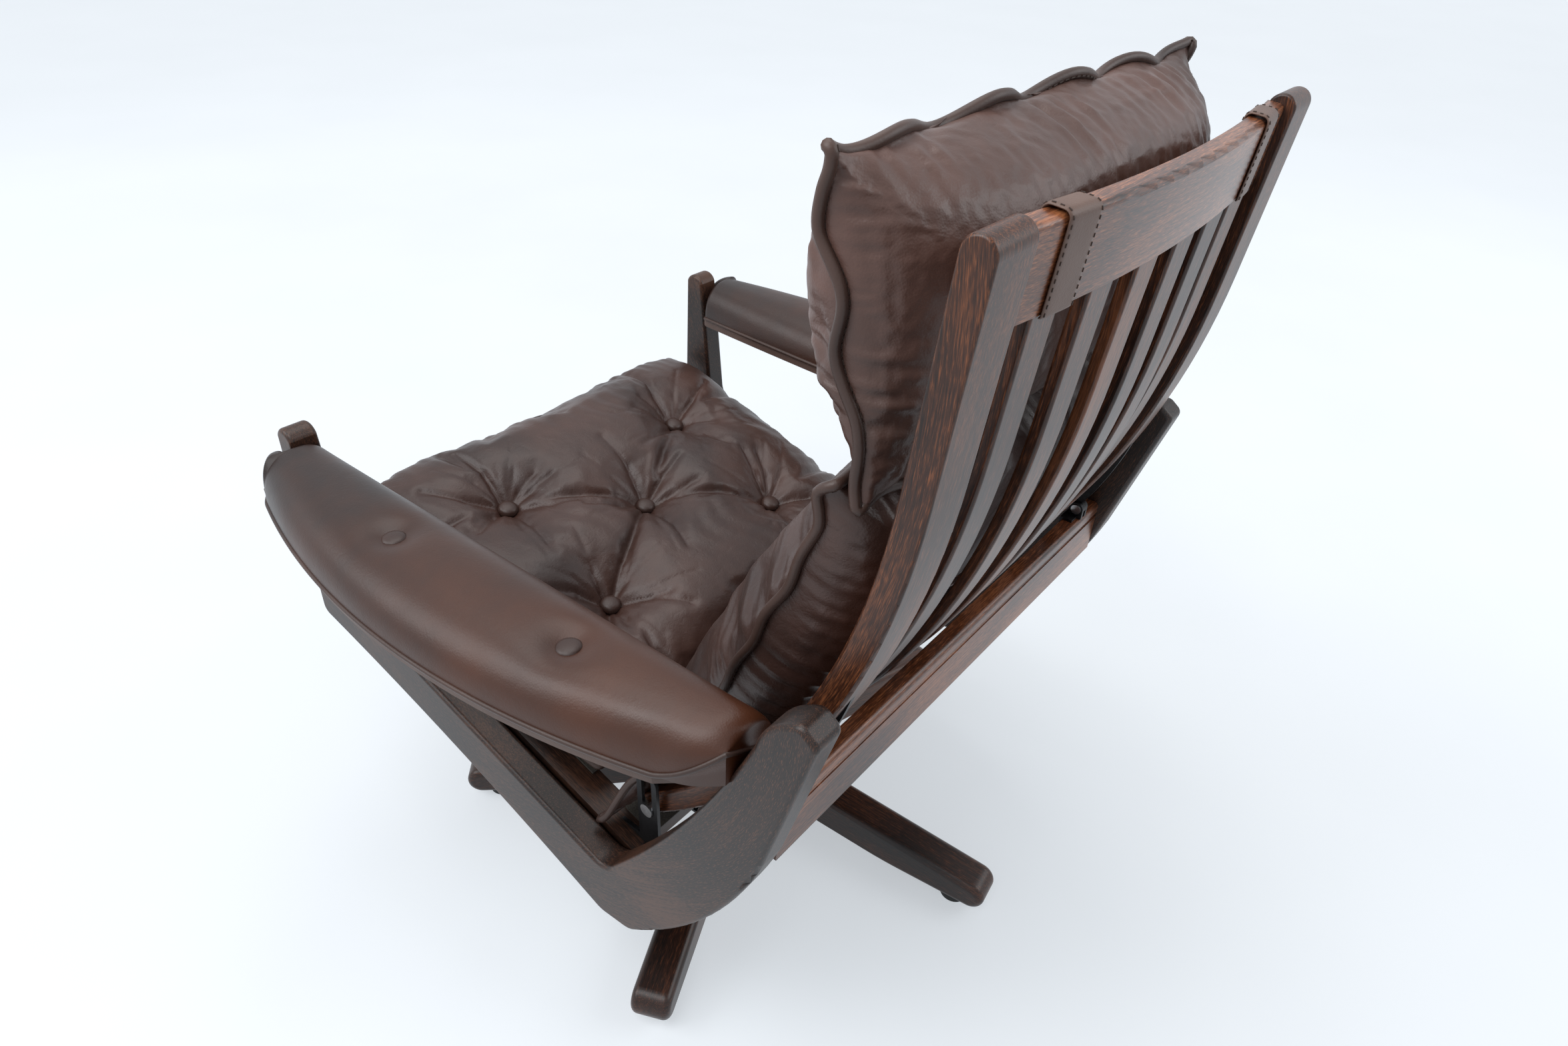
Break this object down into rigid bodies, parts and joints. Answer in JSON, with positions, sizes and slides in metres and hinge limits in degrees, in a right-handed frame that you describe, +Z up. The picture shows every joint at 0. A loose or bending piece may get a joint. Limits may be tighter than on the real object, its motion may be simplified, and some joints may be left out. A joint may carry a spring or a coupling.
{
  "type": "swivel recliner",
  "caption": "Swivel recliner with dark stained bentwood side frames, a slatted curved back, buttoned brown leather cushions and a wooden star base.",
  "frame": {"origin": "centre of the whole chair's outline on the floor, upright and facing straight ahead", "axes": "+Z up, the sitter faces -Y, +X is the sitter's left"},
  "size_m": [0.8472, 0.8194, 0.9737],
  "materials": {
    "stained_wood": "satin dark stained beech",
    "plain_wood": "unstained",
    "brown_leather": "semi-gloss",
    "arm_leather": "satin",
    "strap_leather": "satin",
    "black_steel": "satin black",
    "bright_steel": "zinc plated",
    "black_plastic": "matt",
    "rubber_feet": "matt",
    "webbing": "woven"
  },
  "bodies": {
    "base": {"base_hub": "stained_wood", "base_leg_1": "stained_wood", "base_leg_2": "stained_wood", "base_leg_3": "stained_wood", "base_leg_4": "stained_wood", "base_leg_5": "stained_wood", "floor_glides": "rubber_feet", "hub_plate": "black_steel", "hub_screws": "bright_steel", "column_tube": "black_steel", "column_bush": "black_plastic"},
    "chair": {"swivel_spindle": "black_steel", "swivel_plate": "black_steel", "swivel_cheeks": "black_steel", "swivel_bolts": "bright_steel", "steel_bar_front": "black_steel", "steel_bar_rear": "black_steel", "side_frame_left": "stained_wood", "side_frame_right": "stained_wood", "rear_stretcher": "stained_wood", "front_stretcher": "stained_wood", "frame_dowels": "plain_wood", "seat_runner_left": "stained_wood", "seat_runner_right": "stained_wood", "frame_screws": "bright_steel", "arm_board_left": "arm_leather", "arm_board_right": "arm_leather", "arm_pad_left": "brown_leather", "arm_pad_right": "brown_leather", "arm_buttons": "brown_leather", "recline_bracket_left": "black_steel", "recline_bracket_right": "black_steel", "pivot_pins": "bright_steel"},
    "back": {"back_stile_left": "stained_wood", "back_stile_right": "stained_wood", "top_rail": "stained_wood", "bottom_rail": "stained_wood", "back_slat_1": "stained_wood", "back_slat_2": "stained_wood", "back_slat_3": "stained_wood", "back_slat_4": "stained_wood", "back_slat_5": "stained_wood", "back_slat_6": "stained_wood", "recline_blade_left": "black_steel", "recline_blade_right": "black_steel", "strap_left": "strap_leather", "strap_right": "strap_leather", "head_cushion": "brown_leather", "lumbar_cushion": "brown_leather", "link_pins": "bright_steel"},
    "seat": {"seat_rail_left": "stained_wood", "seat_rail_right": "stained_wood", "seat_front_rail": "stained_wood", "seat_rear_rail": "stained_wood", "link_plate_left": "black_steel", "link_plate_right": "black_steel", "seat_webbing": "webbing", "seat_cushion": "brown_leather", "seat_buttons": "brown_leather"}
  },
  "joints": [
    {"name": "swivel", "type": "hinge", "parent": "base", "child": "chair", "pos_m": [0, 0.009, 0.14], "axis": [0, 0, 1], "continuous": true},
    {"name": "recline", "type": "hinge", "parent": "chair", "child": "back", "pos_m": [0, 0.3015, 0.47613], "axis": [-1, 0, 0], "range_deg": [0, 15]},
    {"name": "seat_slide", "type": "slide", "parent": "chair", "child": "seat", "axis": [0, -0.9613, 0.2756], "range_m": [0, 0.0415]}
  ],
  "couplings": [
    {"joint": "seat_slide", "follows": "recline", "m_per_rad": 0.154}
  ]
}
